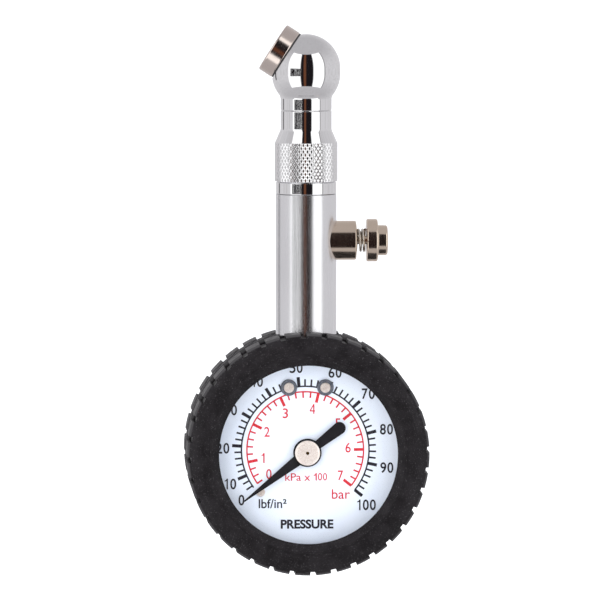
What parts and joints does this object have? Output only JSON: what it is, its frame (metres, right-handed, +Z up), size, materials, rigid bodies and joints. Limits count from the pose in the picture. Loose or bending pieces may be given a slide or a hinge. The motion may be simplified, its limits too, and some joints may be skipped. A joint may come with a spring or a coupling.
{
  "type": "dial tyre pressure gauge",
  "caption": "Dial tyre pressure gauge in a tyre-shaped rubber boot, with a stem, a push-button bleed valve and an angled ball chuck on a swivel collar.",
  "frame": {"origin": "centre of the boot, where the pointer's axis crosses the stem's axis", "axes": "+Z up the stem towards the chuck, -Y out of the dial, +X towards the bleed button"},
  "size_m": [0.0597, 0.03, 0.1349],
  "materials": {
    "boot_rubber": "matt",
    "seal_rubber": "matt",
    "fibre_washer": "matt",
    "case_steel": "satin black",
    "bezel_steel": "brushed",
    "clear_lens": "clear",
    "dial_white": "satin white, printed",
    "pointer_black": "matt black",
    "screw_steel": "polished",
    "movement_brass": "machined",
    "spring_bronze": "rolled",
    "stem_aluminium": "satin",
    "chrome_plate": "polished",
    "nickel_plate": "nickel plated, polished"
  },
  "bodies": {
    "gauge_body": {"rubber_boot": "boot_rubber", "gauge_case": "case_steel", "bezel_ring": "bezel_steel", "lens": "clear_lens", "lens_gasket": "seal_rubber", "dial_plate": "dial_white", "dial_grommets": "seal_rubber", "dial_screws": "screw_steel", "dial_rivet": "screw_steel", "socket_block": "movement_brass", "bourdon_tube": "spring_bronze", "movement_back_plate": "movement_brass", "movement_front_plate": "movement_brass", "movement_pillars": "movement_brass", "movement_screws": "screw_steel", "hairspring_stud": "movement_brass", "stem_washer": "fibre_washer", "stem_tube": "stem_aluminium", "bleed_valve_body": "nickel_plate", "bleed_spring": "screw_steel", "swivel_collar": "chrome_plate"},
    "pointer": {"pointer": "pointer_black", "pointer_hub": "screw_steel", "pinion_arbor": "movement_brass", "hairspring_collet": "movement_brass", "hairspring": "spring_bronze"},
    "sector": {"sector_gear": "movement_brass", "sector_arbor": "movement_brass"},
    "link": {"link_bar": "movement_brass", "link_pins": "screw_steel", "bourdon_tip_cap": "movement_brass"},
    "bleed_plunger": {"bleed_plunger": "nickel_plate", "bleed_poppet_seal": "seal_rubber", "bleed_button": "nickel_plate"},
    "chuck_head": {"chuck_head": "chrome_plate", "chuck_insert": "nickel_plate", "chuck_seal": "seal_rubber", "core_depressor": "movement_brass", "swivel_oring": "seal_rubber", "swivel_clip": "screw_steel"}
  },
  "joints": [
    {"name": "sector_turn", "type": "hinge", "parent": "gauge_body", "child": "sector", "pos_m": [-0.012, 0, 0], "axis": [0, 1, 0], "range_deg": [-36.86, 0], "stiffness_Nm_per_rad": 0.000245, "springref_deg": 8.59, "deforming": ["bourdon_tube"]},
    {"name": "pointer_turn", "type": "hinge", "parent": "gauge_body", "child": "pointer", "pos_m": [0, 0, 0], "axis": [0, 1, 0], "range_deg": [0, 258], "deforming": ["hairspring"]},
    {"name": "link_turn", "type": "hinge", "parent": "sector", "child": "link", "pos_m": [-0.0165, 0, -0.00015], "axis": [0, 1, 0], "range_deg": [0, 36.86]},
    {"name": "bleed_press", "type": "slide", "parent": "gauge_body", "child": "bleed_plunger", "axis": [-1, 0, 0], "range_m": [0, 0.002], "stiffness_N_per_m": 1200, "springref_m": -0.0015, "deforming": ["bleed_spring"]},
    {"name": "head_swivel", "type": "hinge", "parent": "gauge_body", "child": "chuck_head", "pos_m": [0, 0, 0], "axis": [0, 0, 1], "continuous": true}
  ],
  "couplings": [
    {"joint": "pointer_turn", "follows": "sector_turn", "ratio": -7},
    {"joint": "link_turn", "follows": "sector_turn", "ratio": -1}
  ]
}
